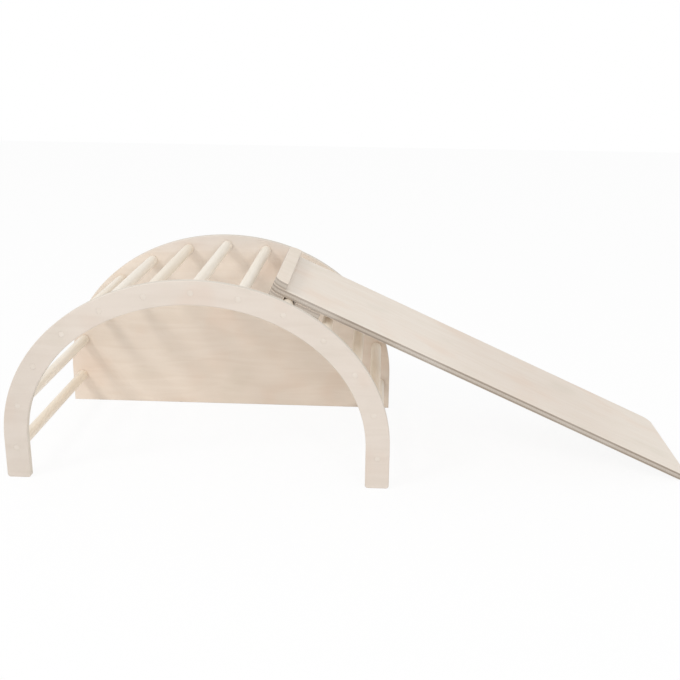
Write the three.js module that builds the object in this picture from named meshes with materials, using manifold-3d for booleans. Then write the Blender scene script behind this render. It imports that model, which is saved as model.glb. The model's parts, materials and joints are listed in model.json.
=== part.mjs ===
// A free-standing climbing arch for small children, with a slide ramp hooked over one rung.
// Units are millimetres. X runs along the ramp, Y from the open front to the solid back, Z up.
// The origin is on the floor, under the centre of the whole object.
import * as THREE from 'three';
import { mergeVertices } from 'three/addons/utils/BufferGeometryUtils.js';
import Module from 'manifold-3d';

const wasm = await Module();
wasm.setup();

// Plywood that everything flat is cut from
const plyThickness = 18;
const easedEdge = 2.5;

// Arch frame
const archWidth = 1000;
const archHeight = 541;
const legHeight = 111;
const bandWidth = 62;
const frameDepth = 593;
const footRound = 8;

// Rungs
const rungCount = 13;
const rungDiameter = 30;
const rungChamfer = 1.5;
const lowestRungHeight = 84;

// Screws that hold the rungs, each with a round cover cap pressed into its head
const rungScrewDiameter = 6;
const rungScrewLength = 50;
const rungScrewHeadDiameter = 11;
const rungScrewHeadHeight = 4;
const capDiameter = 15;
const capThickness = 5;

// Slide board, and the room left beside it between the two panels
const rampLength = 1210;
const frontSideRoom = 80;
const rearSideRoom = 68;
const rampCornerRadius = 28;
const toeCut = 2.5;

// Cleat on top of the board's upper end, and the two blocks below that hook over a rung. The
// share says how far along the arch that rung is, from the far foot to the one near the ramp.
const carrierRungShare = 2 / 3;
const cleatWidth = 37;
const upperBlockWidth = 38;
const lowerBlockWidth = 71;
const uphillPlay = 3;
const downhillPlay = 1;

// Screws of the ramp
const blockScrewDiameter = 4.5;
const blockScrewHeadDiameter = 9;
const blockScrewHeadHeight = 4;
const lowerScrewLength = 30;
const upperScrewLength = 48;
const screwEdgeDistance = 45;
const screwsPerRow = 3;
const lowerScrewRows = 2;

// Clearance between pieces that touch, and how far a cutter runs past what it cuts
const clearance = 0.3;
const overrun = 5;

// Facets
const archSteps = 60;
const cornerSteps = 5;
const rungSides = 20;
const fixingSides = 10;
const blockScrewSides = 10;

// Finishes
const birchFace = new THREE.MeshStandardMaterial({ color: 0xe8dccd, roughness: 0.62, metalness: 0 });
const panelFace = new THREE.MeshStandardMaterial({ color: 0xe0d0bf, roughness: 0.64, metalness: 0 });
const dowelWood = new THREE.MeshStandardMaterial({ color: 0xece0d0, roughness: 0.55, metalness: 0 });
const cappedScrew = new THREE.MeshStandardMaterial({ color: 0xefe6d9, roughness: 0.5, metalness: 0 });
const zincSteel = new THREE.MeshStandardMaterial({ color: 0xb9bcc0, roughness: 0.35, metalness: 1 });

// Closed triangles as a solid that can be cut. Triangles that fold up on an axis are left out.
function toSolid(geometry) {
  const bare = geometry.clone();
  bare.deleteAttribute('normal');
  bare.deleteAttribute('uv');
  const merged = mergeVertices(bare);
  const corners = merged.index.array;
  const kept = [];
  for (let i = 0; i < corners.length; i += 3) {
    const [a, b, c] = [corners[i], corners[i + 1], corners[i + 2]];
    if (a !== b && b !== c && c !== a) {
      kept.push(a, b, c);
    }
  }
  return new wasm.Manifold(new wasm.Mesh({
    numProp: 3,
    vertProperties: merged.attributes.position.array,
    triVerts: new Uint32Array(kept),
  }));
}

// A named mesh from a solid
function toMesh(name, solid, material) {
  const { vertProperties, triVerts } = solid.getMesh();
  const geometry = new THREE.BufferGeometry();
  geometry.setAttribute('position', new THREE.BufferAttribute(vertProperties, 3));
  geometry.setIndex(new THREE.BufferAttribute(triVerts, 1));
  geometry.computeVertexNormals();
  const mesh = new THREE.Mesh(geometry, material);
  mesh.name = name;
  return mesh;
}

// Many separate solids as one
function gather(solids) {
  return solids.reduce((all, next) => all.add(next));
}

// A plywood piece with eased edges: the outline lies in XY and the thickness grows along +Z
function plywood(outline) {
  return new THREE.ExtrudeGeometry(outline, {
    depth: plyThickness - 2 * easedEdge,
    curveSegments: archSteps,
    bevelEnabled: true,
    bevelThickness: easedEdge,
    bevelSize: easedEdge,
    bevelOffset: -easedEdge,
    bevelSegments: 1,
  }).translate(0, 0, easedEdge);
}

// The same piece stood upright, its outline in XZ and its front face at the given Y
function uprightPlywood(outline, frontY) {
  return plywood(outline).rotateX(Math.PI / 2).translate(0, frontY + plyThickness, 0);
}

// A turned piece along +Y from radius and distance pairs that start and end on the axis
function turned(profile, sides) {
  return new THREE.LatheGeometry(profile.map(([r, y]) => new THREE.Vector2(r, y)), sides);
}

// Part of a circle as outline points, so that a corner keeps few facets
function addCorner(outline, x, y, radius, from, to) {
  for (let i = 0; i <= cornerSteps; i += 1) {
    const angle = THREE.MathUtils.lerp(from, to, i / cornerSteps);
    outline.lineTo(x + radius * Math.cos(angle), y + radius * Math.sin(angle));
  }
}

// Half an ellipse as outline points, from one leg over the top to the other
function addVault(outline, halfWidth, rise, from, to) {
  for (let i = 0; i <= archSteps; i += 1) {
    const angle = THREE.MathUtils.lerp(from, to, i / archSteps);
    outline.lineTo(halfWidth * Math.cos(angle), legHeight + rise * Math.sin(angle));
  }
}

const halfArch = archWidth / 2;
const outerRise = archHeight - legHeight;
const quarterTurn = Math.PI / 2;

// Outline of the solid rear panel, which stands on square corners
function panelOutline() {
  const outline = new THREE.Shape();
  outline.moveTo(halfArch, 0);
  addVault(outline, halfArch, outerRise, 0, Math.PI);
  outline.lineTo(-halfArch, 0);
  return outline;
}

// Outline of the open front arch, with its rounded feet
function archOutline() {
  const innerHalf = halfArch - bandWidth;
  const innerRise = outerRise - bandWidth;
  const outline = new THREE.Shape();
  outline.moveTo(halfArch, footRound);
  addVault(outline, halfArch, outerRise, 0, Math.PI);
  addCorner(outline, footRound - halfArch, footRound, footRound, Math.PI, 3 * quarterTurn);
  addCorner(outline, -innerHalf - footRound, footRound, footRound, -quarterTurn, 0);
  addVault(outline, innerHalf, innerRise, Math.PI, 0);
  addCorner(outline, innerHalf + footRound, footRound, footRound, Math.PI, 3 * quarterTurn);
  addCorner(outline, halfArch - footRound, footRound, footRound, -quarterTurn, 0);
  return outline;
}

// The centre line of the band, which all rungs sit on: up one leg, over, and down the other
const lineHalf = halfArch - bandWidth / 2;
const lineRise = outerRise - bandWidth / 2;
const centreLine = new THREE.CurvePath();
centreLine.add(new THREE.LineCurve(new THREE.Vector2(-lineHalf, 0), new THREE.Vector2(-lineHalf, legHeight)));
centreLine.add(new THREE.EllipseCurve(0, legHeight, lineHalf, lineRise, Math.PI, 0, true));
centreLine.add(new THREE.LineCurve(new THREE.Vector2(lineHalf, legHeight), new THREE.Vector2(lineHalf, 0)));
const lineLength = centreLine.getLength();

// Rungs are spaced evenly along that line, and the lowest two are given by their height
const rungPlaces = [];
for (let i = 0; i < rungCount; i += 1) {
  const along = THREE.MathUtils.lerp(lowestRungHeight, lineLength - lowestRungHeight, i / (rungCount - 1));
  rungPlaces.push(centreLine.getPoint(along / lineLength));
}

const rungRadius = rungDiameter / 2;
const rearPanelY = frameDepth - plyThickness;
const rampNearY = plyThickness + frontSideRoom;
const rampFarY = rearPanelY - rearSideRoom;
const rampWidth = rampFarY - rampNearY;
const rungStartY = plyThickness + clearance;
const rungLength = rearPanelY - clearance - rungStartY;

// A rung screw with its cap, along +Y from the cap's outer face. Grown, it cuts its own hole.
const rungScrewTip = capThickness + rungScrewHeadHeight + rungScrewLength;
function fixing(grow) {
  const cap = capDiameter / 2 - clearance + grow;
  const head = rungScrewHeadDiameter / 2 + grow;
  const shank = rungScrewDiameter / 2 + grow;
  const outerY = grow > 0 ? -overrun : 0;
  const headY = capThickness + grow;
  const shankY = capThickness + rungScrewHeadHeight + grow;
  const tipY = rungScrewTip + grow;
  return toSolid(turned([
    [0, outerY],
    [cap, outerY],
    [cap, headY],
    [head, headY],
    [head, shankY],
    [shank, shankY],
    [shank, tipY - rungScrewDiameter],
    [0, tipY],
  ], fixingSides));
}

// The two fixings of a rung: one faces back from the front arch, one forwards from the panel
function frontFixing(place, grow) {
  return fixing(grow).translate([place.x, 0, place.y]);
}
function rearFixing(place, grow) {
  return fixing(grow).rotate([180, 0, 0]).translate([place.x, frameDepth, place.y]);
}

function frontArch() {
  const holes = gather(rungPlaces.map((place) => frontFixing(place, clearance)));
  return toSolid(uprightPlywood(archOutline(), 0)).subtract(holes);
}

function rearPanel() {
  const holes = gather(rungPlaces.map((place) => rearFixing(place, clearance)));
  return toSolid(uprightPlywood(panelOutline(), rearPanelY)).subtract(holes);
}

// A dowel with chamfered ends, bored for the screw at each end
function rung(place) {
  const dowel = toSolid(turned([
    [0, 0],
    [rungRadius - rungChamfer, 0],
    [rungRadius, rungChamfer],
    [rungRadius, rungLength - rungChamfer],
    [rungRadius - rungChamfer, rungLength],
    [0, rungLength],
  ], rungSides));
  const bores = gather([frontFixing(place, clearance), rearFixing(place, clearance)]);
  return dowel.translate([place.x, rungStartY, place.y]).subtract(bores);
}

const model = new THREE.Group();
model.add(toMesh('front_arch', frontArch(), birchFace));
model.add(toMesh('rear_panel', rearPanel(), panelFace));
rungPlaces.forEach((place, i) => {
  const number = String(i + 1).padStart(2, '0');
  model.add(toMesh(`rung_${number}`, rung(place), dowelWood));
  model.add(toMesh(`front_screw_${number}`, frontFixing(place, 0), cappedScrew));
  model.add(toMesh(`rear_screw_${number}`, rearFixing(place, 0), cappedScrew));
});

// The ramp's own frame: origin on the axis of the rung that carries it, X downhill along the
// board, Z square to the board. The blocks leave a slot for the rung, and the board's underside
// lies on the rung's top.
const carrierRung = rungPlaces[Math.round(carrierRungShare * (rungCount - 1))];
const undersideZ = rungRadius + clearance;
const boardTopZ = undersideZ + plyThickness;
const upperEndX = -(upperBlockWidth + uphillPlay + rungRadius);
const lowerEndX = upperEndX + rampLength;
const lowerBlockX = rungRadius + downhillPlay;

// The slope at which the lower end, with its corner cut flat, rests on the floor
const rungToToe = Math.hypot(lowerEndX, undersideZ);
const rampSlope = Math.asin((carrierRung.y + toeCut) / rungToToe) + Math.atan2(undersideZ, lowerEndX);

// A strip across the board from one X to another. Rounded ends share the board's corners.
function stripOutline(fromX, toX, fromRadius, toRadius) {
  const outline = new THREE.Shape();
  outline.moveTo(fromX + fromRadius, rampNearY);
  if (toRadius > 0) {
    addCorner(outline, toX - toRadius, rampNearY + toRadius, toRadius, -quarterTurn, 0);
    addCorner(outline, toX - toRadius, rampFarY - toRadius, toRadius, 0, quarterTurn);
  } else {
    outline.lineTo(toX, rampNearY);
    outline.lineTo(toX, rampFarY);
  }
  if (fromRadius > 0) {
    addCorner(outline, fromX + fromRadius, rampFarY - fromRadius, fromRadius, quarterTurn, Math.PI);
    addCorner(outline, fromX + fromRadius, rampNearY + fromRadius, fromRadius, Math.PI, 3 * quarterTurn);
  } else {
    outline.lineTo(fromX, rampFarY);
    outline.lineTo(fromX, rampNearY);
  }
  return outline;
}

// A pan-head screw along +Y from its head. Grown, it cuts its own hole.
function blockScrew(length, grow) {
  const head = blockScrewHeadDiameter / 2 + grow;
  const shank = blockScrewDiameter / 2 + grow;
  const outerY = grow > 0 ? -overrun : 0;
  const shankY = blockScrewHeadHeight + grow;
  const tipY = blockScrewHeadHeight + length + grow;
  return toSolid(turned([
    [0, outerY],
    [head, outerY],
    [head, shankY],
    [shank, shankY],
    [shank, tipY - blockScrewDiameter],
    [0, tipY],
  ], blockScrewSides));
}

// Screws go up through the blocks, heads in the underside, in rows across the ramp
const blockTopZ = undersideZ - clearance;
const blockBottomZ = blockTopZ - plyThickness;
function rampScrews(rowXs, length, grow) {
  const nearY = rampNearY + screwEdgeDistance;
  const farY = rampFarY - screwEdgeDistance;
  const screws = [];
  for (const x of rowXs) {
    for (let i = 0; i < screwsPerRow; i += 1) {
      const y = THREE.MathUtils.lerp(nearY, farY, i / (screwsPerRow - 1));
      screws.push(blockScrew(length, grow).rotate([90, 0, 0]).translate([x, y, blockBottomZ + clearance]));
    }
  }
  return screws;
}

const upperRows = [upperEndX + cleatWidth / 2];
const lowerRows = [];
for (let i = 0; i < lowerScrewRows; i += 1) {
  lowerRows.push(lowerBlockX + lowerBlockWidth * (i + 1) / (lowerScrewRows + 1));
}
const upperHoles = gather(rampScrews(upperRows, upperScrewLength, clearance));
const lowerHoles = gather(rampScrews(lowerRows, lowerScrewLength, clearance));

// Everything below the floor, in the ramp's frame, to cut the lower end flat
function belowFloor() {
  const depth = plyThickness + overrun;
  const length = 2 * (plyThickness + overrun);
  const box = new THREE.BoxGeometry(length, rampWidth + 2 * overrun, depth);
  const toeX = lowerEndX * Math.cos(rampSlope) + undersideZ * Math.sin(rampSlope);
  box.translate(toeX, (rampNearY + rampFarY) / 2, -depth / 2 - carrierRung.y);
  return toSolid(box.rotateY(-rampSlope));
}

function strip(fromX, toX, bottomZ, fromRadius, toRadius) {
  return toSolid(plywood(stripOutline(fromX, toX, fromRadius, toRadius)).translate(0, 0, bottomZ));
}

function rampBoard() {
  const board = strip(upperEndX, lowerEndX, undersideZ, rampCornerRadius, rampCornerRadius);
  return board.subtract(belowFloor()).subtract(upperHoles).subtract(lowerHoles);
}

function topCleat() {
  const bottomZ = boardTopZ + clearance;
  return strip(upperEndX, upperEndX + cleatWidth, bottomZ, rampCornerRadius, 0).subtract(upperHoles);
}

function upperBlock() {
  const toX = upperEndX + upperBlockWidth;
  return strip(upperEndX, toX, blockBottomZ, rampCornerRadius, 0).subtract(upperHoles);
}

function lowerBlock() {
  return strip(lowerBlockX, lowerBlockX + lowerBlockWidth, blockBottomZ, 0, 0).subtract(lowerHoles);
}

const ramp = new THREE.Group();
ramp.add(toMesh('ramp_board', rampBoard(), birchFace));
ramp.add(toMesh('ramp_top_cleat', topCleat(), birchFace));
ramp.add(toMesh('upper_hook_block', upperBlock(), birchFace));
ramp.add(toMesh('lower_hook_block', lowerBlock(), birchFace));
rampScrews(upperRows, upperScrewLength, 0).forEach((screw, i) => {
  ramp.add(toMesh(`upper_block_screw_${i + 1}`, screw, zincSteel));
});
rampScrews(lowerRows, lowerScrewLength, 0).forEach((screw, i) => {
  ramp.add(toMesh(`lower_block_screw_${i + 1}`, screw, zincSteel));
});
ramp.position.set(carrierRung.x, 0, carrierRung.y);
ramp.rotation.y = rampSlope;
model.add(ramp);

// Centre the whole object over the origin. The board's upper lower corner reaches furthest right.
const reachX = carrierRung.x + lowerEndX * Math.cos(rampSlope)
  + (boardTopZ - easedEdge) * Math.sin(rampSlope);
model.position.set((halfArch - reachX) / 2, -frameDepth / 2, 0);

export default model;
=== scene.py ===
# %% [markdown]
# # A climbing arch with a slide board, dressed in birch
#
# The object is a low arch of plywood and round rungs that a small child climbs over. A long
# board hooks over one of its rungs as a slide. A measured model of it exists already, in which
# every piece has its real size and place. This lesson builds the fine version of each piece
# around that model and then gives it a finish. Everything is in metres, with Z up, X along the
# slide and Y from the open front to the solid back.

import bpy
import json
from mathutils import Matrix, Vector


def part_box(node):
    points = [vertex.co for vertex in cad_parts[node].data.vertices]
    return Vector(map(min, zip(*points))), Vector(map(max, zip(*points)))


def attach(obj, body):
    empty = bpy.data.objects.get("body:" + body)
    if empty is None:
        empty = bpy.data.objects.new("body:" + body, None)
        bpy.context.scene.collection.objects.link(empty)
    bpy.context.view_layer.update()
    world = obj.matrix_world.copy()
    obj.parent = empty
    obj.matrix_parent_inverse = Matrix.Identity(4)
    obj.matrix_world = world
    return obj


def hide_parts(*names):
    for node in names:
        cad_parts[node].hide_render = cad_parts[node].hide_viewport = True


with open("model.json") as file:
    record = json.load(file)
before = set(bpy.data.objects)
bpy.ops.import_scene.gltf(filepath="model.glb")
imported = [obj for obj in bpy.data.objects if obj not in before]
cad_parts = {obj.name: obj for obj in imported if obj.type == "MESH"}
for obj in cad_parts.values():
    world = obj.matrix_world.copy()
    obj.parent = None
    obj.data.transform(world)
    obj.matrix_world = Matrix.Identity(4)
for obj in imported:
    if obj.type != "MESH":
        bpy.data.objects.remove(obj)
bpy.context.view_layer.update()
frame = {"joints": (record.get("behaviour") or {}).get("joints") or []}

# %% [markdown]
# ## The camera first
#
# A likeness is easiest to judge when the camera stands where the photographer stood. Three
# turns describe how a camera is held: where it points from left to right, how far it looks
# down, and how it is tilted about its own line of sight. They are turned into the three axes
# of the camera here, so that no order of rotations has to be remembered.

# %% Camera
import math

import bpy
from mathutils import Matrix, Vector

CAMERA_PLACE = Vector((0.0702, -2.568, 1.1088))
CAMERA_HEADING = -0.043
CAMERA_DIP = 0.3022
CAMERA_TILT = 0.0132
LENS_LENGTH = 51.09
SENSOR_WIDTH = 36.0

sight = Vector((
    math.sin(CAMERA_HEADING) * math.cos(CAMERA_DIP),
    math.cos(CAMERA_HEADING) * math.cos(CAMERA_DIP),
    -math.sin(CAMERA_DIP),
))
level = Vector((math.cos(CAMERA_HEADING), -math.sin(CAMERA_HEADING), 0))
camera_up = level.cross(sight)
camera_x = math.cos(CAMERA_TILT) * level + math.sin(CAMERA_TILT) * camera_up
camera_y = math.cos(CAMERA_TILT) * camera_up - math.sin(CAMERA_TILT) * level

bpy.ops.object.camera_add(location=CAMERA_PLACE)
camera = bpy.context.object
camera.rotation_euler = Matrix((camera_x, camera_y, -sight)).transposed().to_euler()
camera.data.lens = LENS_LENGTH
camera.data.sensor_width = SENSOR_WIDTH
bpy.context.scene.camera = camera
print("camera looks along", [round(v, 3) for v in sight])

# %% [markdown]
# ## Sizes
#
# The measured model gives each piece as a box, so most sizes are read from it. A box doesn't
# say how wide a curved band is or how round a corner is, so those few are written here, in
# the maker's words.

# %% Sizes of the arch
PLY_THICKNESS = 0.018
EDGE_ROUND = 0.0025
BAND_WIDTH = 0.062
LEG_HEIGHT = 0.111
FOOT_ROUND = 0.008
CLEARANCE = 0.0003

arch_low, arch_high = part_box("front_arch")
panel_low, panel_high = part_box("rear_panel")
arch_middle = (arch_low.x + arch_high.x) / 2
half_width = (arch_high.x - arch_low.x) / 2
vault_rise = arch_high.z - LEG_HEIGHT
print("arch:", round(2 * half_width, 3), "wide,", round(arch_high.z, 3), "high")

# %% [markdown]
# ## A few habits of the bench
#
# An operator acts on whatever is selected, so each piece starts from an empty selection. In
# edit mode, the next operator's faces, edges or corners are picked by where they lie, which
# is what a person does with a mouse. A face counts as square to a direction when the cosine
# between the two is nearly 1.

# %% Selecting
import bmesh

SQUARE_ON = 0.99


def clear_bench():
    """Leaves edit mode and selects nothing."""
    if bpy.context.object and bpy.context.object.mode != "OBJECT":
        bpy.ops.object.mode_set(mode="OBJECT")
    bpy.ops.object.select_all(action="DESELECT")


def take_up(piece, editing=False):
    """Makes a piece the only selected one, and opens it for editing if asked."""
    clear_bench()
    piece.select_set(True)
    bpy.context.view_layer.objects.active = piece
    if editing:
        bpy.ops.object.mode_set(mode="EDIT")
        bpy.ops.mesh.select_mode(type="VERT")
        bpy.ops.mesh.select_all(action="SELECT")


def pick(kind, wanted):
    """Selects the corners, edges or faces of the open piece that pass the test."""
    bpy.ops.mesh.select_mode(type=kind)
    bpy.ops.mesh.select_all(action="DESELECT")
    mesh = bmesh.from_edit_mesh(bpy.context.object.data)
    mesh.normal_update()
    candidates = {"VERT": mesh.verts, "EDGE": mesh.edges, "FACE": mesh.faces}[kind]
    found = [item for item in candidates if wanted(item)]
    for item in found:
        item.select_set(True)
    mesh.select_flush_mode()
    bmesh.update_edit_mesh(bpy.context.object.data)
    return len(found)


def close_to(a, b, slack=1e-5):
    """True if two lengths are the same but for rounding."""
    return abs(a - b) < slack


print("selection tools are ready")

# %% [markdown]
# ## Finishing a flat piece
#
# All the flat pieces are cut from one sheet and then lose their sharp edges to a router, so
# they share one last step. It is the same by hand: thicken the outline, pick the edges that
# lie between a face and a side, and round them over. Weighted normals keep the large faces
# flat to the eye while the rounded edges run smoothly into them.

# %% From an outline to a sheet with rounded edges
ROUND_STEPS = 4
SMOOTH_ANGLE = math.radians(40)


def thicken(direction):
    """Pulls the open piece's flat outline out to the sheet's thickness."""
    bpy.ops.mesh.select_all(action="SELECT")
    bpy.ops.mesh.extrude_region_move(TRANSFORM_OT_translate={"value": direction * PLY_THICKNESS})
    bpy.ops.mesh.select_all(action="SELECT")
    bpy.ops.mesh.normals_make_consistent(inside=False)


def round_over(direction):
    """Rounds every edge between the sheet's two faces and its sides."""
    def on_rim(edge):
        flat = [abs(face.normal.dot(direction)) > SQUARE_ON for face in edge.link_faces]
        return len(flat) == 2 and flat[0] != flat[1]

    pick("EDGE", on_rim)
    bpy.ops.mesh.bevel(offset=EDGE_ROUND, segments=ROUND_STEPS, affect="EDGES")


def settle(piece):
    """Leaves edit mode with the piece's place in its mesh and its curved faces smooth."""
    take_up(piece)
    bpy.ops.object.transform_apply(location=True, rotation=True, scale=True)
    bpy.ops.object.shade_smooth_by_angle(angle=SMOOTH_ANGLE)
    bpy.ops.object.modifier_add(type="WEIGHTED_NORMAL")
    piece.modifiers[-1].keep_sharp = True
    bpy.ops.object.modifier_apply(modifier=piece.modifiers[-1].name)
    return piece


def show_size(piece):
    """Prints how many faces a finished piece has, and its size."""
    size = [round(v, 4) for v in piece.dimensions]
    print(piece.name, "has", len(piece.data.polygons), "faces and measures", size)


print("sheets are", PLY_THICKNESS, "thick with", EDGE_ROUND, "rounded off")

# %% [markdown]
# ## Turned and stepped pieces
#
# Dowels, screws, plugs and the holes for them are all round and change their radius in steps.
# A lathe profile could be spun, but a disc that is pulled out step by step is quicker to read:
# each step says how far it goes and how wide it is when it gets there.

# %% A round piece pulled out step by step
def stepped(name, start, direction, radius, steps, sides):
    """A disc at start, pulled along direction by each (distance, new radius) in turn."""
    clear_bench()
    facing = direction.to_track_quat("Z", "Y").to_euler()
    bpy.ops.mesh.primitive_circle_add(
        vertices=sides, radius=radius, fill_type="NGON", location=start, rotation=facing)
    piece = bpy.context.object
    piece.name = name
    bpy.ops.object.transform_apply(location=True, rotation=True, scale=True)
    take_up(piece, editing=True)
    across = Vector((1, 1, 1)) - Vector([abs(v) for v in direction])
    place = start.copy()
    for distance, new_radius in steps:
        bpy.ops.mesh.extrude_region_move(TRANSFORM_OT_translate={"value": direction * distance})
        place = place + direction * distance
        share = new_radius / radius
        scale = Vector((1, 1, 1)) - across * (1 - share)
        bpy.ops.transform.resize(value=scale, center_override=place)
        radius = new_radius
    bpy.ops.mesh.select_all(action="SELECT")
    bpy.ops.mesh.normals_make_consistent(inside=False)
    bpy.ops.object.mode_set(mode="OBJECT")
    return piece


def copy_to(piece, name, shift):
    """Another of the same piece, with its own mesh, moved by shift."""
    take_up(piece)
    bpy.ops.object.duplicate_move(TRANSFORM_OT_translate={"value": shift})
    made = bpy.context.object
    made.name = name
    bpy.ops.object.transform_apply(location=True, rotation=True, scale=True)
    return made


def repeated(first, points, name):
    """The piece made for the first point, and a copy of it for each of the others."""
    pieces = [first]
    for number, point in enumerate(points[1:], start=2):
        pieces.append(copy_to(first, name.format(number), point - points[0]))
    return pieces


def cut_away(piece, cutters):
    """Cuts the cutters out of the piece, one after another, and throws them away."""
    for cutter in cutters:
        take_up(piece)
        bpy.ops.object.modifier_add(type="BOOLEAN")
        cut = piece.modifiers[-1]
        cut.operation = "DIFFERENCE"
        cut.solver = "EXACT"
        cut.object = cutter
        bpy.ops.object.modifier_apply(modifier=cut.name)
    clear_bench()
    for cutter in cutters:
        cutter.select_set(True)
    bpy.ops.object.delete()


print("round tools are ready")

# %% [markdown]
# ## Rungs
#
# The rungs are thirteen equal dowels between the arch and the panel. Each has its end edges
# broken, and a bore at each end for the screw that holds it. One is made, at the first rung's
# place, and the others are copies of it moved to the places that the measured model gives.

# %% Thirteen dowels
RUNG_COUNT = 13
RUNG_SIDES = 64
RUNG_CHAMFER = 0.0015
SCREW_RADIUS = 0.003
SCREW_BORE = 0.0033
RUNG_BORE_DEPTH = 0.0415
CHAMFER_STEPS = 3

rung_boxes = [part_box(f"rung_{number:02d}") for number in range(1, RUNG_COUNT + 1)]
rung_middles = [(low + high) / 2 for low, high in rung_boxes]
first_low, first_high = rung_boxes[0]
rung_radius = (first_high.x - first_low.x) / 2
rung_length = first_high.y - first_low.y


def first_dowel():
    """The dowel at the first rung's place, with broken edges and a bore in each end."""
    near_end = rung_middles[0] - Vector((0, rung_length / 2, 0))
    dowel = stepped("dowel_01", near_end, Vector((0, 1, 0)), rung_radius,
                    [(rung_length, rung_radius)], RUNG_SIDES)
    take_up(dowel, editing=True)
    pick("EDGE", lambda edge: close_to(edge.verts[0].co.y, edge.verts[1].co.y))
    bpy.ops.mesh.bevel(offset=RUNG_CHAMFER, segments=CHAMFER_STEPS, affect="EDGES")
    for inward in (1, -1):
        pick("FACE", lambda face: face.normal.y * inward < -SQUARE_ON)
        bpy.ops.mesh.inset(thickness=rung_radius - RUNG_CHAMFER - SCREW_BORE)
        bore = Vector((0, inward * RUNG_BORE_DEPTH, 0))
        bpy.ops.mesh.extrude_region_move(TRANSFORM_OT_translate={"value": bore})
    return settle(dowel)


dowels = repeated(first_dowel(), rung_middles, "dowel_{:02d}")
show_size(dowels[0])
print(len(dowels), "dowels alike")

# %% [markdown]
# ## Screws under cover plugs
#
# A long screw holds each end of a rung. Its head sits in a counterbore and a pale plug is
# pressed in over it, nearly flush. All of it is round about one line, so the plug, the head
# and the shank are pulled out of one disc. A curve is made of two steps, of which the first
# goes less far along the line. The crown's two steps and the tapers are written as shares of
# the full radius.

# %% Plug and screw in one
PLUG_RADIUS = 0.0074
PLUG_GAP = 0.0001
PLUG_DEPTH = 0.005
PLUG_CROWN = 0.0002
PLUG_ROUND = 0.0003
HEAD_RADIUS = 0.0055
HEAD_HEIGHT = 0.004
SHANK_LENGTH = 0.050
FIXING_SIDES = 40

FIRST_STEP = 0.3
CROWN_TOP = 0.2
CROWN_SHOULDER = 0.6
HEAD_TAPER = 0.9
POINT_TAPER = 0.05

FORWARD = Vector((0, -1, 0))
BACKWARD = Vector((0, 1, 0))


def rounded_rim(radius, rounding):
    """The two steps of a rounded rim, up to its full radius."""
    return [(rounding * FIRST_STEP, radius - rounding * FIRST_STEP),
            (rounding * (1 - FIRST_STEP), radius)]


def pointed_shank(length, radius):
    """The two steps of a shank, whose point is as long as the shank is thick."""
    return [(length - 2 * radius, radius), (2 * radius, radius * POINT_TAPER)]


def capped_screw(name, outer_point, inward):
    """A plug with a soft crown, then the head and the shank with its point."""
    crown = [(PLUG_CROWN * FIRST_STEP, PLUG_RADIUS * CROWN_SHOULDER),
             (PLUG_CROWN * (1 - FIRST_STEP), PLUG_RADIUS - PLUG_ROUND)]
    rim = rounded_rim(PLUG_RADIUS, PLUG_ROUND)
    body = [(PLUG_DEPTH - PLUG_CROWN - PLUG_ROUND, PLUG_RADIUS), (0, HEAD_RADIUS)]
    head = [(HEAD_HEIGHT, HEAD_RADIUS * HEAD_TAPER), (0, SCREW_RADIUS)]
    steps = crown + rim + body + head + pointed_shank(SHANK_LENGTH, SCREW_RADIUS)
    return settle(stepped(name, outer_point, inward, PLUG_RADIUS * CROWN_TOP, steps, FIXING_SIDES))


front_points = [Vector((middle.x, arch_low.y, middle.z)) for middle in rung_middles]
rear_points = [Vector((middle.x, panel_high.y, middle.z)) for middle in rung_middles]
front_plugs = [capped_screw("front_plug_01", front_points[0], BACKWARD)]
rear_plugs = [capped_screw("rear_plug_01", rear_points[0], FORWARD)]
for number, middle in enumerate(rung_middles[1:], start=2):
    shift = middle - rung_middles[0]
    front_plugs.append(copy_to(front_plugs[0], f"front_plug_{number:02d}", shift))
    rear_plugs.append(copy_to(rear_plugs[0], f"rear_plug_{number:02d}", shift))
print(len(front_plugs) + len(rear_plugs), "plugs with their screws")

# %% [markdown]
# ## The holes for the plugs
#
# The hole has the same steps as the plug and its screw, a little wider, so the two always fit
# each other. The cutter runs out past both faces of the sheet, so that no skin is left.

# %% A cutter for each plug
CUTTER_REACH = 0.004
HOLE_SIDES = 48
PLUG_HOLE_RADIUS = PLUG_RADIUS + PLUG_GAP


def plug_cutter(number, outer_point, inward):
    """The plug's and the screw's space in the sheet, run out past both of its faces."""
    outside = outer_point - inward * CUTTER_REACH
    steps = [
        (CUTTER_REACH + PLUG_DEPTH + CLEARANCE, PLUG_HOLE_RADIUS),
        (0, HEAD_RADIUS + CLEARANCE),
        (HEAD_HEIGHT, HEAD_RADIUS + CLEARANCE),
        (0, SCREW_BORE),
        (PLY_THICKNESS - PLUG_DEPTH - HEAD_HEIGHT + CUTTER_REACH, SCREW_BORE),
    ]
    return stepped(f"plug_cutter_{number}", outside, inward, PLUG_HOLE_RADIUS, steps, HOLE_SIDES)


print("each hole is", round(2 * PLUG_HOLE_RADIUS, 4), "wide at the face")

# %% [markdown]
# ## The open front arch
#
# The arch is a band of even width, half an ellipse on two short legs. By hand it starts as a
# circle that is squashed to the outer ellipse. Its edges are extruded and scaled in to the
# inner ellipse, the lower half is bisected away, and the two ends are pulled down as legs.
# Scaling to both ellipses, and not insetting, keeps the band as wide over the top as beside.

# %% The band of the arch
ARCH_STEPS = 192
FOOT_STEPS = 6


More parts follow.
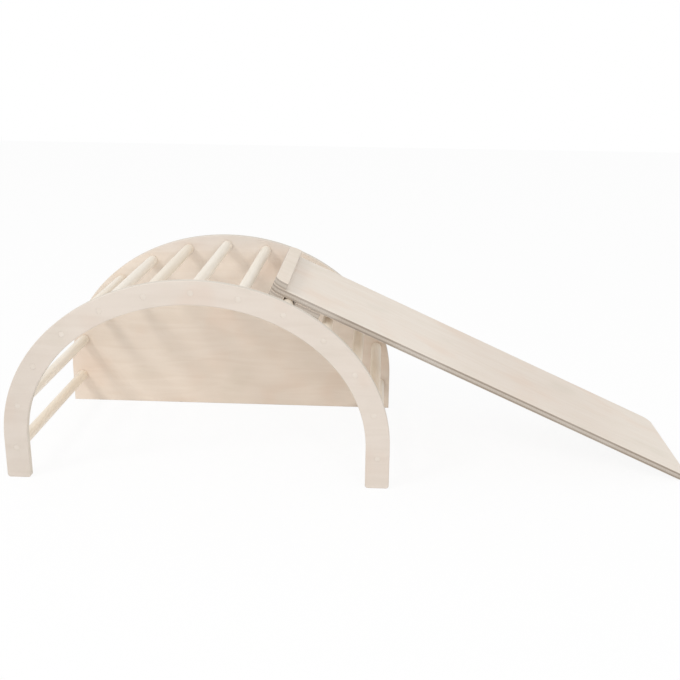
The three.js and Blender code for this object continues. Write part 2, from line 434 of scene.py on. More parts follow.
def squashed_circle(name, centre, fill):
    """An upright circle squashed to the arch's outer ellipse, left open in edit mode."""
    clear_bench()
    bpy.ops.mesh.primitive_circle_add(
        vertices=ARCH_STEPS, radius=half_width, fill_type=fill,
        location=centre, rotation=(math.pi / 2, 0, 0))
    piece = bpy.context.object
    piece.name = name
    bpy.ops.object.transform_apply(location=True, rotation=True, scale=True)
    take_up(piece, editing=True)
    bpy.ops.transform.resize(value=(1, 1, vault_rise / half_width), center_override=centre)
    return piece


def drop_lower_half(centre):
    """Bisects the open piece at the springing line and keeps what is above."""
    bpy.ops.mesh.select_all(action="SELECT")
    bpy.ops.mesh.bisect(plane_co=centre, plane_no=(0, 0, -1), clear_outer=True)


def grow_legs():
    """Pulls the edges on the springing line down to the floor."""
    def on_springing_line(edge):
        return all(close_to(corner.co.z, LEG_HEIGHT) for corner in edge.verts)

    pick("EDGE", on_springing_line)
    bpy.ops.mesh.extrude_region_move(TRANSFORM_OT_translate={"value": (0, 0, -LEG_HEIGHT)})


def round_feet():
    """Rounds the corners of the open piece that stand on the floor."""
    pick("VERT", lambda corner: close_to(corner.co.z, 0))
    bpy.ops.mesh.bevel(offset=FOOT_ROUND, segments=FOOT_STEPS, affect="VERTICES")


def open_arch():
    """The front arch, from squashed circle to rounded band with its plug holes."""
    centre = Vector((arch_middle, arch_low.y, LEG_HEIGHT))
    piece = squashed_circle("arch_band", centre, "NOTHING")
    bpy.ops.mesh.extrude_region_move()
    inner = ((half_width - BAND_WIDTH) / half_width, 1, (vault_rise - BAND_WIDTH) / vault_rise)
    bpy.ops.transform.resize(value=inner, center_override=centre)
    drop_lower_half(centre)
    grow_legs()
    round_feet()
    thicken(BACKWARD)
    round_over(BACKWARD)
    cut_away(piece, [plug_cutter(i, point, BACKWARD) for i, point in enumerate(front_points)])
    return settle(piece)


arch_band = open_arch()
show_size(arch_band)

# %% [markdown]
# ## The solid rear panel
#
# The panel has the same outer line but is solid, so its circle is filled before it is cut. It
# stands on square corners, so its feet are left as they are.

# %% The panel
def solid_panel():
    """The rear panel with its plug holes, which open to the back."""
    centre = Vector((arch_middle, panel_low.y, LEG_HEIGHT))
    piece = squashed_circle("solid_panel", centre, "NGON")
    drop_lower_half(centre)
    grow_legs()
    thicken(BACKWARD)
    round_over(BACKWARD)
    cut_away(piece, [plug_cutter(i, point, FORWARD) for i, point in enumerate(rear_points)])
    return settle(piece)


back_panel = solid_panel()
show_size(back_panel)

# %% [markdown]
# ## Where the slide lies
#
# The slide hangs on one rung and turns about its middle. Its pieces are easiest to cut flat,
# with X downhill along the board and Z square to it, and are then turned down to the slope
# together. The slope is the one that takes the board's lower corner to the floor, and past it
# by the little that is planed off there.

# %% The slide's own frame
BOARD_LENGTH = 1.210
BOARD_CORNER = 0.028
TOE_CUT = 0.0025
CLEAT_WIDTH = 0.037
UPPER_BLOCK_WIDTH = 0.038
LOWER_BLOCK_WIDTH = 0.071
UPHILL_PLAY = 0.003
DOWNHILL_PLAY = 0.001

hinge = Vector(frame["joints"][0]["pos_m"])
board_low, board_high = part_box("ramp_board")
near_side = board_low.y
far_side = board_high.y
underside = rung_radius + CLEARANCE
upper_end = -(UPPER_BLOCK_WIDTH + UPHILL_PLAY + rung_radius)
lower_end = upper_end + BOARD_LENGTH
corner_reach = math.hypot(lower_end, underside)
corner_angle = math.atan2(underside, lower_end)
slope = math.asin((hinge.z + TOE_CUT) / corner_reach) + corner_angle
to_slope = Matrix.Translation((hinge.x, 0, hinge.z)) @ Matrix.Rotation(slope, 4, "Y")
print("the slide falls at", round(math.degrees(slope), 3), "degrees")

# %% [markdown]
# ## Cutting the slide's pieces
#
# Board, cleat and blocks are all strips across the slide. Each starts as a plane at its size,
# gets its round corners, its thickness and its rounded edges, and is set on the slope last.
# The corners of the cleat and the upper block follow the board's, so the three run flush.

# %% Strips across the slide
CORNER_STEPS = 10
UPWARD = Vector((0, 0, 1))


def strip(name, from_x, to_x, bottom_z, rounded_xs):
    """A flat strip with the corners at rounded_xs rounded, lying level in the slide's frame."""
    clear_bench()
    middle = ((from_x + to_x) / 2, (near_side + far_side) / 2, bottom_z)
    bpy.ops.mesh.primitive_plane_add(size=1, location=middle)
    piece = bpy.context.object
    piece.name = name
    piece.scale = (to_x - from_x, far_side - near_side, 1)
    bpy.ops.object.transform_apply(location=True, rotation=True, scale=True)
    take_up(piece, editing=True)
    if pick("VERT", lambda corner: any(close_to(corner.co.x, x) for x in rounded_xs)):
        bpy.ops.mesh.bevel(offset=BOARD_CORNER, segments=CORNER_STEPS, affect="VERTICES")
    thicken(UPWARD)
    round_over(UPWARD)
    bpy.ops.object.mode_set(mode="OBJECT")
    return piece


def lay_on_slope(piece):
    """Turns a level piece down to the slope and moves it to the rung."""
    take_up(piece)
    piece.matrix_world = to_slope @ piece.matrix_world
    bpy.ops.object.transform_apply(location=True, rotation=True, scale=True)
    return piece


print("strips are", round(far_side - near_side, 4), "long across the slide")

# %% [markdown]
# ## Screws of the slide
#
# Pan-head screws go up through the blocks. Their heads lie in counterbores on the underside,
# where only someone who turns the board over sees them. Each head has a cross recess, cut by
# two thin wedges. One screw of each length is made, while the slide still lies level, and is
# copied along its rows.

# %% Pan-head screws
PAN_RADIUS = 0.0045
PAN_HEIGHT = 0.004
PAN_ROUND = 0.0012
PAN_SHANK = 0.00225
LOWER_SCREW_LENGTH = 0.030
UPPER_SCREW_LENGTH = 0.048
SCREW_INSET = 0.045
SCREWS_PER_ROW = 3
LOWER_ROWS = 2
RECESS_LENGTH = 0.0048
RECESS_WIDTH = 0.0011
RECESS_DEPTH = 0.0022
RECESS_TAPER = 0.5

block_top = underside - CLEARANCE
block_bottom = block_top - PLY_THICKNESS


def cross_recess(point):
    """Two crossed bars with sloping ends, sunk into the head at point."""
    bars = []
    for turn in (0, math.pi / 2):
        clear_bench()
        bpy.ops.mesh.primitive_cube_add(size=1, location=point, rotation=(0, 0, turn))
        bar = bpy.context.object
        bar.scale = (RECESS_LENGTH, RECESS_WIDTH, 2 * RECESS_DEPTH)
        bpy.ops.object.transform_apply(location=True, rotation=True, scale=True)
        take_up(bar, editing=True)
        pick("FACE", lambda face: face.normal.z > SQUARE_ON)
        bpy.ops.transform.resize(value=(RECESS_TAPER, RECESS_TAPER, 1), center_override=point)
        bpy.ops.object.mode_set(mode="OBJECT")
        bars.append(bar)
    return bars


def pan_screw(name, point, length):
    """A screw that points up, with its head's outer face at point."""
    head = [(PAN_HEIGHT - PAN_ROUND, PAN_RADIUS), (0, PAN_SHANK)]
    steps = rounded_rim(PAN_RADIUS, PAN_ROUND) + head + pointed_shank(length, PAN_SHANK)
    screw = stepped(name, point, UPWARD, PAN_RADIUS - PAN_ROUND, steps, FIXING_SIDES)
    cut_away(screw, cross_recess(point))
    return settle(screw)


print("pan heads are", 2 * PAN_RADIUS, "wide")

# %% [markdown]
# ## Rows of screws and their holes
#
# A row runs straight across the slide, with the outer screws set in from its sides. The same
# places give the screws and the cutters. A cutter starts a little below the head of its screw.

# %% Rows
PAN_REACH = 0.002


def row_points(row_xs):
    """The places of the heads, row by row from the near side to the far side."""
    span = far_side - near_side - 2 * SCREW_INSET
    ys = [near_side + SCREW_INSET + span * i / (SCREWS_PER_ROW - 1) for i in range(SCREWS_PER_ROW)]
    return [Vector((x, y, block_bottom + CLEARANCE)) for x in row_xs for y in ys]


def screw_cutters(points, length):
    """The space of each screw, open below the head."""
    steps = [
        (PAN_REACH + PAN_HEIGHT + CLEARANCE, PAN_RADIUS + CLEARANCE),
        (0, PAN_SHANK + CLEARANCE),
        (length + CLEARANCE, PAN_SHANK + CLEARANCE),
    ]
    return [stepped("screw_cutter", point - UPWARD * PAN_REACH, UPWARD,
                    PAN_RADIUS + CLEARANCE, steps, FIXING_SIDES) for point in points]


def screw_row(prefix, points, length):
    """The screws of one or more rows, numbered in order."""
    first = pan_screw(f"{prefix}_1", points[0], length)
    return [lay_on_slope(screw) for screw in repeated(first, points, prefix + "_{}")]


upper_points = row_points([upper_end + CLEAT_WIDTH / 2])
lower_block_x = rung_radius + DOWNHILL_PLAY
row_step = LOWER_BLOCK_WIDTH / (LOWER_ROWS + 1)
lower_points = row_points([lower_block_x + row_step * (i + 1) for i in range(LOWER_ROWS)])
upper_screws = screw_row("upper_screw", upper_points, UPPER_SCREW_LENGTH)
lower_screws = screw_row("lower_screw", lower_points, LOWER_SCREW_LENGTH)
print(len(upper_screws), "upper and", len(lower_screws), "lower screws")

# %% [markdown]
# ## The slide board
#
# The board ends in a toe: its lower corner is planed flat, so that it lies on the floor and
# not on an edge. Here the whole board is set on its slope first and the floor does the
# planing, as a bisect with the cut filled in.

# %% Board, cleat and blocks
PLANING_SLACK = 1e-6


def slide_board():
    """The board on its slope, with its toe cut flat at the floor."""
    piece = strip("slide_board", upper_end, lower_end, underside, [upper_end, lower_end])
    cut_away(piece, screw_cutters(upper_points, UPPER_SCREW_LENGTH))
    cut_away(piece, screw_cutters(lower_points, LOWER_SCREW_LENGTH))
    lay_on_slope(piece)
    take_up(piece, editing=True)
    bpy.ops.mesh.bisect(plane_co=(0, 0, 0), plane_no=UPWARD, use_fill=True, clear_inner=True,
                        threshold=PLANING_SLACK)
    return settle(piece)


def grip_cleat():
    """The raised strip along the upper end, which hands hold while the board is set."""
    bottom = underside + PLY_THICKNESS + CLEARANCE
    piece = strip("grip_cleat", upper_end, upper_end + CLEAT_WIDTH, bottom, [upper_end])
    cut_away(piece, screw_cutters(upper_points, UPPER_SCREW_LENGTH))
    return settle(lay_on_slope(piece))


def upper_block():
    """The strip under the upper end, uphill of the rung."""
    piece = strip("upper_block", upper_end, upper_end + UPPER_BLOCK_WIDTH, block_bottom, [upper_end])
    cut_away(piece, screw_cutters(upper_points, UPPER_SCREW_LENGTH))
    return settle(lay_on_slope(piece))


def lower_block():
    """The wider strip that hooks behind the rung, downhill of it."""
    piece = strip("lower_block", lower_block_x, lower_block_x + LOWER_BLOCK_WIDTH, block_bottom, [])
    cut_away(piece, screw_cutters(lower_points, LOWER_SCREW_LENGTH))
    return settle(lay_on_slope(piece))


board = slide_board()
cleat = grip_cleat()
high_block = upper_block()
low_block = lower_block()
for piece in (board, cleat, high_block, low_block):
    show_size(piece)

# %% [markdown]
# ## Writing finishes as sums
#
# A finish is a network of nodes, and most of it is arithmetic. One small class lets that
# arithmetic be written as a Python expression. It wraps a socket: adding two of them adds a
# Math node, and every other kind of node comes from one method.

# %% Sockets that take part in sums
# A Mix node has sockets of one name for each kind of data, so its colours go by number
MIX_FACTOR = 0
MIX_FIRST = 6
MIX_SECOND = 7
MIX_RESULT = 2


class Shade:
    """A socket of a material's nodes that can be used like a number."""

    def __init__(self, tree, socket=None):
        self.tree = tree
        self.socket = socket

    def node(self, kind, settings=None, inputs=None, output=0):
        """Adds a node: settings first, then the value or the link of each named socket."""
        made = self.tree.nodes.new("ShaderNode" + kind)
        for name, value in (settings or {}).items():
            setattr(made, name, value)
        for name, value in (inputs or {}).items():
            if isinstance(value, Shade):
                self.tree.links.new(value.socket, made.inputs[name])
            else:
                made.inputs[name].default_value = value
        return Shade(self.tree, made.outputs[output])

    def math(self, operation, *others):
        """A Math node whose first input is this socket."""
        inputs = {0: self}
        inputs.update({i + 1: other for i, other in enumerate(others)})
        return self.node("Math", {"operation": operation}, inputs)

    def __add__(self, other):
        return self.math("ADD", other)

    __radd__ = __add__

    def __mul__(self, other):
        return self.math("MULTIPLY", other)

    __rmul__ = __mul__

    def __sub__(self, other):
        return self.math("SUBTRACT", other)

    def __rsub__(self, other):
        return self.math("MULTIPLY", -1.0).math("ADD", other)

    def __truediv__(self, other):
        return self.math("DIVIDE", other)

    def __abs__(self):
        return self.math("ABSOLUTE")

    def floor(self):
        return self.math("FLOOR")

    def fraction(self):
        return self.math("FRACT")

    def rise(self, low, high):
        """0 below low, 1 above high and a soft step between them."""
        return self.node("MapRange", {"interpolation_type": "SMOOTHSTEP"},
                         {"Value": self, "From Min": low, "From Max": high})

    def axis(self, which):
        """One of the three numbers of a vector."""
        return self.node("SeparateXYZ", None, {"Vector": self}, output=which)

    def stretch(self, *scale):
        """A vector with each of its numbers multiplied."""
        return self.node("VectorMath", {"operation": "MULTIPLY"}, {0: self, 1: scale})

    def noise(self, scale, detail=2.0, roughness=0.5, distortion=0.0):
        """Soft noise, from 0 to 1, at the places that this vector gives."""
        return self.node("TexNoise", None, {"Vector": self, "Scale": scale, "Detail": detail,
                                            "Roughness": roughness, "Distortion": distortion})

    def mix(self, first, second):
        """The first colour where this is 0 and the second where it is 1."""
        return self.node("Mix", {"data_type": "RGBA"},
                         {MIX_FACTOR: self, MIX_FIRST: first, MIX_SECOND: second}, MIX_RESULT)

    def tint(self, colour, strength):
        """This colour multiplied by another one, as far as strength says."""
        return self.node("Mix", {"data_type": "RGBA", "blend_type": "MULTIPLY"},
                         {MIX_FACTOR: strength, MIX_FIRST: self, MIX_SECOND: colour}, MIX_RESULT)

    def bump(self, strength, distance):
        """A normal that leans as if the surface rose by this height times the distance."""
        return self.node("Bump", None, {"Strength": strength, "Distance": distance, "Height": self})


def paint(red, green, blue):
    """A colour as it is written for a screen, from 0 to 255, in the renderer's linear scale."""
    def linear(value):
        share = value / 255
        return share / 12.92 if share <= 0.04045 else ((share + 0.055) / 1.055) ** 2.4
    return (linear(red), linear(green), linear(blue), 1.0)


def new_finish(name):
    """An empty material, its first Shade and its main shader node."""
    material = bpy.data.materials.new(name)
    material.use_nodes = True
    shader = material.node_tree.nodes["Principled BSDF"]
    return material, Shade(material.node_tree), shader


def feed(shader, **sockets):
    """Links or sets sockets of the main shader, named with _ for a space."""
    tree = shader.id_data
    for name, value in sockets.items():
        target = shader.inputs[name.replace("_", " ")]
        if isinstance(value, Shade):
            tree.links.new(value.socket, target)
        else:
            target.default_value = value


print("finishes can be written as sums")

# %% [markdown]
# ## Birch plywood, all the way through
#
# Plywood shows its plies on every cut, so it is painted as a solid: the colour depends on how
# deep a point lies in the sheet and not on which face it is on. Thirteen plies make up the
# sheet, each with its grain across the last. A ply is pale where it is cut along its grain and
# dark and greyish where it is cut across it, with a thin dark glue line at each joint. The
# line starts at GLUE_FROM, in plies from the middle of a ply. The plies beside the rounded
# edges are rubbed darkest by the cutter. How far that reaches is given in plies from the line
# where the rounding starts: first where the rubbing begins and is full on the inside of that
# line, then where it fades and is gone on the outside.

# %% Plies in depth
PLY_COUNT = 13
PLY_PITCH = PLY_THICKNESS / PLY_COUNT
GLUE_WAVER = 0.0004
WAVER_SCALE = 9
GLUE_FROM = 0.42
RUBBED_INSIDE = (2.6, 2.0)
RUBBED_OUTSIDE = (0.1, 0.7)


def ply_layers(spot, moved, offset):
    """How deep in the sheet a point is: which kind of ply, the glue, and each ply's own tone."""
    waver = moved.stretch(1, 1, 0).noise(WAVER_SCALE, detail=1) - 0.5
    plies = (spot.axis("Z") + waver * GLUE_WAVER) / PLY_PITCH
    odd = (plies.floor() * 0.5).fraction() * 2
    joint = abs(plies.fraction() - 0.5).rise(GLUE_FROM, 0.5)
    own_tone = spot.node("TexWhiteNoise", {"noise_dimensions": "1D"}, {"W": plies.floor() + offset})
    return odd, joint, own_tone


def rubbed_plies(spot):
    """1 in the plies just inside the rounded edges and 0 elsewhere."""
    from_middle = abs(spot.axis("Z") - PLY_THICKNESS / 2)
    flat_half = PLY_THICKNESS / 2 - EDGE_ROUND
    begins, is_full = [flat_half - plies * PLY_PITCH for plies in RUBBED_INSIDE]
    fades, is_gone = [flat_half + plies * PLY_PITCH for plies in RUBBED_OUTSIDE]
    return from_middle.rise(begins, is_full) * (1 - from_middle.rise(fades, is_gone))


print("plywood:", PLY_COUNT, "plies of", round(PLY_PITCH * 1000, 2), "mm")

# %% [markdown]
# The outer ply is the face: plain rotary-cut birch, with a wide soft figure, fine short pores
# and faint patches of pink and grey. Places are stretched far more across the grain than along
# it before the noise is read, which draws the noise out along the grain. A tint along one axis
# also paints light and shade into the faces: the rear panel is painted a little cooler along its
# top, as open light, so that below it reads as warm shade, and the arch is painted a little
# darker at its left, as shade. The slide board is tinted a little warmer past its middle. Such a
# tint is a colour, the axis that it follows, a place on that axis, and how far from there it
# starts and is full.

# %% Face veneer
FIGURE_STRETCH = (1.1, 7.5, 7.5)
FIGURE_SCALE = 5
PATCH_SCALE = 6.5
PINK_PATCH = paint(253, 244, 239)
GREY_PATCH = paint(244, 245, 242)
PORE_BROWN = paint(200, 182, 163)


def face_veneer(moved, fibre, pores, face, deeper):
    """A soft figure between two tones, with faint patches and fine pores."""
    figure = moved.stretch(*FIGURE_STRETCH).noise(
        FIGURE_SCALE, detail=2.5, roughness=0.45, distortion=0.9)
    patches = moved.noise(PATCH_SCALE, detail=2)
    colour = (figure.rise(0.30, 0.75) * 0.70 + fibre * 0.30).mix(face, deeper)
    colour = colour.tint(PINK_PATCH, patches.rise(0.50, 0.72) * 0.5)
    colour = colour.tint(GREY_PATCH, (1 - patches).rise(0.55, 0.75) * 0.5)
    return colour.tint(PORE_BROWN, pores * 0.30)


def shade_and_tone_tint(colour, place, shade_and_tone):
    """A colour tinted along one axis, as painted light and shade on the arch and panel and as a band
    of tone on the board.
    """
    tint, axis, centre, starts, is_full = shade_and_tone
    return colour.tint(tint, abs(place.axis(axis) - centre).rise(starts, is_full))


print("the face veneer is ready")

# %% [markdown]
# The sheet has the veneer on its faces and its plies on every cut. A Mapping node brings each
# piece into the frame of its own sheet, with X along the face grain and Z through the
# thickness. The tones differ from sheet to sheet, so each sheet brings four of its own: the
# face, the darker part of its figure, and the pale and the dark plies of its edge. Where an
# edge was rubbed or worn, its tone is multiplied by a tint.

# %% Plywood
GRAIN_ALONG = (9, 700, 700)
GRAIN_ACROSS = (700, 9, 700)
GRAIN_HEIGHT = 0.0002
PORE_STRETCH = (160, 1500, 1500)
PORE_SPAN = (0.66, 0.80)
WEAR_SCALE = 3.2
RUBBED = paint(208, 202, 196)
WORN = paint(226, 218, 210)
GLUE_LINE = paint(134, 120, 107)


def plywood(name, origin, turn, tones, offset, striping, shade_and_tone=None):
    """A sheet whose outer face lies at origin, in four tones, with edges striped more or less."""
    face, deeper, pale_ply, dark_ply = tones
    material, start, shader = new_finish(name)
    place = start.node("TexCoord", output="Object")
    facing = start.node("TexCoord", output="Normal")
    spot = start.node("Mapping", {"vector_type": "TEXTURE"},
                      {"Vector": place, "Location": origin, "Rotation": turn})
    way = start.node("Mapping", {"vector_type": "TEXTURE"}, {"Vector": facing, "Rotation": turn})
    moved = spot.node("VectorMath", {"operation": "ADD"}, {0: spot, 1: (offset, offset, 0)})
    odd, joint, own_tone = ply_layers(spot, moved, offset)

    # Fibres of the two directions, and which one this ply has
    along = moved.stretch(*GRAIN_ALONG).noise(1, detail=3, roughness=0.6)
    across = moved.stretch(*GRAIN_ACROSS).noise(1, detail=3, roughness=0.6)
    fibre = along * (1 - odd) + across * odd
    end_grain = abs(way.axis("X")) * (1 - odd) + abs(way.axis("Y")) * odd

    # The faces
    pores = moved.stretch(*PORE_STRETCH).noise(1, detail=1).rise(*PORE_SPAN)
    veneer = face_veneer(moved, fibre, pores, face, deeper)
    # Painted light and shade on the arch and the panel, and a band of tone on the board, tint the
    # faces here
    if shade_and_tone:
        veneer = shade_and_tone_tint(veneer, place, shade_and_tone)

    # The cut edges
    streaks = fibre.rise(0.30, 0.75)
    worn = 1 - moved.noise(WEAR_SCALE, detail=2).rise(0.42, 0.62)
    edge = (end_grain * 0.65 + own_tone * 0.20 + streaks * 0.15).mix(pale_ply, dark_ply)
    edge = edge.tint(RUBBED, rubbed_plies(spot) * striping * (0.6 + 0.4 * worn))
    edge = edge.tint(WORN, worn * striping * 0.6)
    edge = (joint * (0.25 + 0.45 * striping)).mix(edge, GLUE_LINE)
    is_edge = 1 - abs(way.axis("Z")).rise(0.55, 0.93)
    colour = is_edge.mix(veneer, edge)

    rough = 0.50 + fibre * 0.10 + is_edge * 0.14 + pores * 0.1
    height = fibre * 0.5 - pores * 0.8 - joint * is_edge * 0.6
    feed(shader, Base_Color=colour, Roughness=rough, Normal=height.bump(0.25, GRAIN_HEIGHT))
    return material


print("a sheet can be painted")

# %% [markdown]
# The arch's sheets stand upright, with their grain level. The slide's sheets lie on the slope,
# with their grain down it. The slide's edges are greyer and more striped than those of the
# arch. Each sheet has an offset of its own, so that no two show the same stretch of noise.

# %% The five sheets
upright = (-math.pi / 2, 0, 0)
sloping = (0, slope, 0)
FRAME_STRIPING = 0.15
FRAME_EDGES = (paint(234, 227, 216), paint(216, 207, 195))
SLIDE_EDGES = (paint(224, 217, 208), paint(184, 174, 163))
ARCH_TONES = (paint(222, 211, 200), paint(216, 204, 192)) + FRAME_EDGES
PANEL_TONES = (paint(235, 222, 208), paint(228, 213, 197)) + FRAME_EDGES
BOARD_TONES = (paint(239, 229, 217), paint(234, 222, 208)) + SLIDE_EDGES
CLEAT_TONES = (paint(238, 226, 212), paint(232, 219, 203)) + SLIDE_EDGES
BLOCK_TONES = (paint(234, 223, 211), paint(227, 214, 200)) + SLIDE_EDGES
# Painted shade: the arch's faces are tinted darker towards its left leg
ARCH_LEFT_PAINTED_SHADE = (paint(249, 249, 249), "X", 0.0, 0.70, 0.86)
# Painted light: the panel's faces are tinted cooler along its top, where open light falls, so the
# part below reads as warm shade
PANEL_TOP_PAINTED_LIGHT = (paint(245, 248, 253), "Z", 0.0, 0.45, 0.53)
# The board's faces are tinted a little warmer and darker along a stretch past its middle
BOARD_TONE_BAND = (paint(250, 248, 247), "X", 0.49, 0.30, 0.12)


def on_slope(height):
    """The point above the rung at that height in the slide's frame."""
    return to_slope @ Vector((0, 0, height))


arch_birch = plywood("arch_birch", (0, arch_low.y, 0), upright, ARCH_TONES,
                     offset=0.0, striping=FRAME_STRIPING, shade_and_tone=ARCH_LEFT_PAINTED_SHADE)
panel_birch = plywood("panel_birch", (0, panel_low.y, 0), upright, PANEL_TONES,
                      offset=3.1, striping=FRAME_STRIPING, shade_and_tone=PANEL_TOP_PAINTED_LIGHT)
board_birch = plywood("board_birch", on_slope(underside), sloping, BOARD_TONES,
                      offset=1.7, striping=1.0, shade_and_tone=BOARD_TONE_BAND)
cleat_birch = plywood("cleat_birch", on_slope(underside + PLY_THICKNESS + CLEARANCE), sloping,
                      CLEAT_TONES, offset=5.3, striping=0.5)
block_birch = plywood("block_birch", on_slope(block_bottom), sloping, BLOCK_TONES,
                      offset=7.9, striping=0.6)
print("arch, panel, board, cleat and blocks each have their own sheet")

# %% [markdown]
# ## Dowels
#
# A dowel is sawn from solid wood and sanded, so its grain runs straight along it, with short
# flecks. It is the palest wood of the piece. Each dowel lies at another place, so the slow
# part of the noise gives each its own tone without any list of tones.

# %% Dowel wood
SLOW_STRETCH = (9, 0.6, 9)
STREAK_STRETCH = (260, 5, 260)
FLECK_STRETCH = (1300, 130, 1300)
RING_STRETCH = (300, 3, 300)
DOWEL_PALE = paint(247, 240, 229)
DOWEL_STREAK = paint(240, 231, 217)
DOWEL_SLOW = paint(249, 242, 232)
DOWEL_FLECK = paint(202, 184, 163)
END_PALE = paint(206, 190, 170)
END_DARK = paint(168, 150, 131)


def dowel_wood():
    """Straight-grained pale wood with the grain along Y."""
    material, start, shader = new_finish("dowel_wood")
    place = start.node("TexCoord", output="Object")
    facing = start.node("TexCoord", output="Normal")
    slow = place.stretch(*SLOW_STRETCH).noise(1, detail=1)
    streaks = place.stretch(*STREAK_STRETCH).noise(1, detail=3, roughness=0.6)
    flecks = place.stretch(*FLECK_STRETCH).noise(1, detail=1).rise(*PORE_SPAN)
    rings = place.stretch(*RING_STRETCH).noise(1, detail=2)
    side = streaks.rise(0.25, 0.80).mix(DOWEL_PALE, DOWEL_STREAK)
    side = side.tint(DOWEL_SLOW, slow.rise(0.35, 0.65) * 0.5)
    side = side.tint(DOWEL_FLECK, flecks * 0.25)
    is_end = abs(facing.axis("Y")).rise(0.6, 0.95)
    colour = is_end.mix(side, rings.mix(END_PALE, END_DARK))
    rough = 0.44 + streaks * 0.12 + is_end * 0.15
    height = streaks * 0.5 - flecks * 0.6
    feed(shader, Base_Color=colour, Roughness=rough, Normal=height.bump(0.22, GRAIN_HEIGHT))
    return material


dowel_finish = dowel_wood()
print("dowel wood is ready")

# %% [markdown]
# ## Plugs and screws
#
# The plugs are moulded, with a fine satin grain, and each is slightly paler than the sheet that
# it sits in, so those at the back are a little paler and warmer than those in front. The screw
# under a plug is zinc, and the two are told apart by how deep a point lies: the plug is what is
# near the outer face. The slide's screws are the same zinc.

# %% Plug and zinc finishes
ZINC = paint(186, 188, 190)
ZINC_WARM = paint(205, 204, 198)
ZINC_SCALE = 900
TURNING_STRETCH = (400, 400, 6000)
FRONT_PLUG = paint(224, 214, 203)
REAR_PLUG = paint(234, 222, 211)
PLUG_CLOUD = paint(250, 248, 246)
CLOUD_SCALE = 60
MOULD_SCALE = 2600
FINE_HEIGHT = 0.0001
MIDDLE_REACH = 0.1
half_depth = panel_high.y


def zinc_screw():
    """Bright zinc plating with faint turning marks."""
    material, start, shader = new_finish("zinc_plate")
    place = start.node("TexCoord", output="Object")
    clouds = place.noise(ZINC_SCALE, detail=3)
    marks = place.stretch(*TURNING_STRETCH).noise(1, detail=2)
    colour = clouds.mix(ZINC, ZINC_WARM)
    rough = 0.26 + clouds * 0.12 + marks * 0.08
    feed(shader, Base_Color=colour, Metallic=1.0, Roughness=rough,
         Normal=marks.bump(0.15, FINE_HEIGHT))
    return material


def plug_plastic():
    """A pale satin plug, with the zinc screw below it."""
    material, start, shader = new_finish("plug_plastic")
    place = start.node("TexCoord", output="Object")
    depth_in = half_depth - abs(place.axis("Y"))
    is_metal = depth_in.rise(PLUG_DEPTH - CLEARANCE, PLUG_DEPTH + CLEARANCE)
    grain = place.noise(MOULD_SCALE, detail=3)
    clouds = place.noise(CLOUD_SCALE, detail=2)
    at_the_back = place.axis("Y").rise(-MIDDLE_REACH, MIDDLE_REACH)
    plastic = at_the_back.mix(FRONT_PLUG, REAR_PLUG)
    # The plugs, front and back, take the arch's painted shade towards the left as well
    plastic = shade_and_tone_tint(plastic, place, ARCH_LEFT_PAINTED_SHADE)
    plastic = plastic.tint(PLUG_CLOUD, clouds.rise(0.3, 0.7))
    colour = is_metal.mix(plastic, ZINC)
    rough = 0.42 + grain * 0.14 - is_metal * 0.12
    feed(shader, Base_Color=colour, Metallic=is_metal, Roughness=rough,
         Normal=grain.bump(0.2, FINE_HEIGHT))
    return material


zinc_finish = zinc_screw()
plug_finish = plug_plastic()
print("plugs and screws are ready")

# %% [markdown]
# ## Who moves with what
#
# Each fine piece now takes its finish and rides on the body that it belongs to, the frame or
# the slide, and its node of the measured model is hidden.

# %% Dress the pieces
def dress(piece, node, body, finish):
    """Gives a piece its finish and its body, and hides the node of the measured model that it stands
    for.
    """
    piece.data.materials.clear()
    piece.data.materials.append(finish)
    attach(piece, body)
    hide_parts(node)


dress(arch_band, "front_arch", "arch_frame", arch_birch)
dress(back_panel, "rear_panel", "arch_frame", panel_birch)
for number, (dowel, front, rear) in enumerate(zip(dowels, front_plugs, rear_plugs), start=1):
    dress(dowel, f"rung_{number:02d}", "arch_frame", dowel_finish)
    dress(front, f"front_screw_{number:02d}", "arch_frame", plug_finish)
    dress(rear, f"rear_screw_{number:02d}", "arch_frame", plug_finish)
dress(board, "ramp_board", "slide_ramp", board_birch)
dress(cleat, "ramp_top_cleat", "slide_ramp", cleat_birch)
dress(high_block, "upper_hook_block", "slide_ramp", block_birch)
dress(low_block, "lower_hook_block", "slide_ramp", block_birch)
for number, screw in enumerate(upper_screws, start=1):
    dress(screw, f"upper_block_screw_{number}", "slide_ramp", zinc_finish)
for number, screw in enumerate(lower_screws, start=1):
    dress(screw, f"lower_block_screw_{number}", "slide_ramp", zinc_finish)

# %% [markdown]
# ## The studio
#
# The photograph is a cut-out on white. The floor is a plain white sheet that still takes the
# object's shadow. A camera ray sees it mostly as a white card, and only a share of the real
# floor, so the shadow stays but is faint. The sky is white to the camera too, and lights the
# piece evenly. A key lamp to the upper left in front gives the shadows of the rungs on the
# panel. A weaker and lower fill lamp to the right in front shines in through the arch.

# %% Floor, sky and lamps
FLOOR_REACH = 8.0
FLOOR_WHITE = (0.95, 0.95, 0.95, 1.0)
FLOOR_ROUGHNESS = 0.9
PURE_WHITE = (1.0, 1.0, 1.0, 1.0)
CARD_SHARE = 0.90
SKY_LIGHT = 0.77
LAMP_DISTANCE = 6.0
KEY_AIM = Vector((0.55, 0.50, -0.66))
KEY_SIZE = 1.4
KEY_POWER = 86.0
FILL_AIM = Vector((-0.45, 0.80, -0.40))
FILL_SIZE = 1.2
FILL_POWER = 50.0


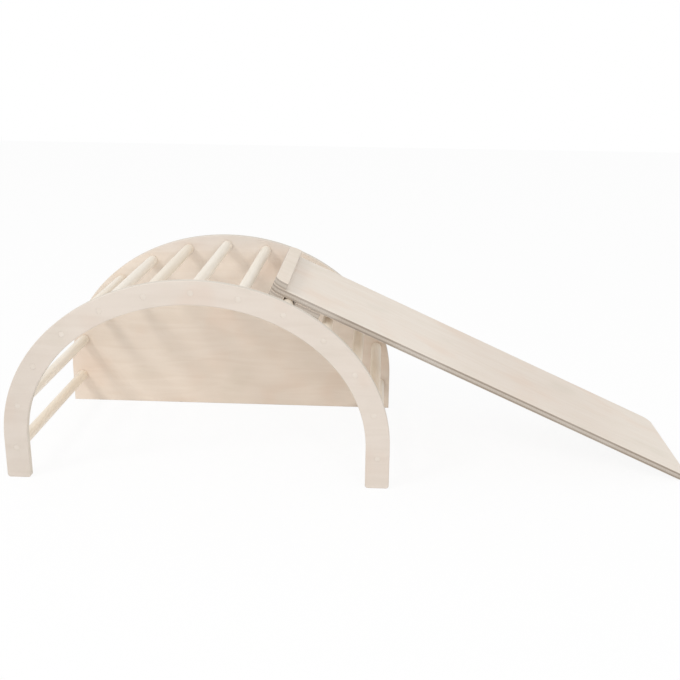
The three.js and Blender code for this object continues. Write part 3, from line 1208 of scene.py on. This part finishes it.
def seen_directly(start):
    """1 for a ray from the camera, a mirror or a glass, and 0 for light that bounces."""
    rays = [start.node("LightPath", output=name) for name in
            ("Is Camera Ray", "Is Glossy Ray", "Is Transmission Ray")]
    return rays[0].math("MAXIMUM", rays[1]).math("MAXIMUM", rays[2])


def white_floor():
    """The floor: part real white surface, part white card."""
    clear_bench()
    bpy.ops.mesh.primitive_plane_add(size=2 * FLOOR_REACH, location=(0, 0, 0))
    floor = bpy.context.object
    floor.name = "floor"
    material, start, shader = new_finish("floor_white")
    feed(shader, Base_Color=FLOOR_WHITE, Roughness=FLOOR_ROUGHNESS)
    card = start.node("Emission", None, {"Color": PURE_WHITE, "Strength": 1.0})
    surface = Shade(start.tree, shader.outputs[0])
    both = start.node("MixShader", None, {0: seen_directly(start) * CARD_SHARE, 1: surface, 2: card})
    start.tree.links.new(both.socket, start.tree.nodes["Material Output"].inputs["Surface"])
    floor.data.materials.append(material)


def white_sky():
    """White to the camera, and an even light of a lower strength for everything else."""
    world = bpy.data.worlds.new("studio")
    bpy.context.scene.world = world
    world.use_nodes = True
    start = Shade(world.node_tree)
    strength = seen_directly(start) * (1 - SKY_LIGHT) + SKY_LIGHT
    background = world.node_tree.nodes["Background"]
    background.inputs["Color"].default_value = PURE_WHITE
    world.node_tree.links.new(strength.socket, background.inputs["Strength"])


def soft_lamp(name, aim, size, power):
    """A round lamp that shines along aim at a point below the top of the arch."""
    target = Vector((arch_middle, 0, vault_rise))
    place = target - aim.normalized() * LAMP_DISTANCE
    bpy.ops.object.light_add(type="AREA", location=place)
    lamp = bpy.context.object
    lamp.name = name
    lamp.rotation_euler = aim.to_track_quat("-Z", "Y").to_euler()
    lamp.data.shape = "DISK"
    lamp.data.size = size
    lamp.data.energy = power
    return lamp


white_floor()
white_sky()
lamps = [soft_lamp("key_lamp", KEY_AIM, KEY_SIZE, KEY_POWER),
         soft_lamp("fill_lamp", FILL_AIM, FILL_SIZE, FILL_POWER)]
bpy.context.scene.view_settings.view_transform = "Standard"
for lamp in lamps:
    print(lamp.name, "stands at", [round(v, 2) for v in lamp.location])

# %% [markdown]
# ## The last cell

# %% The last cell
import json
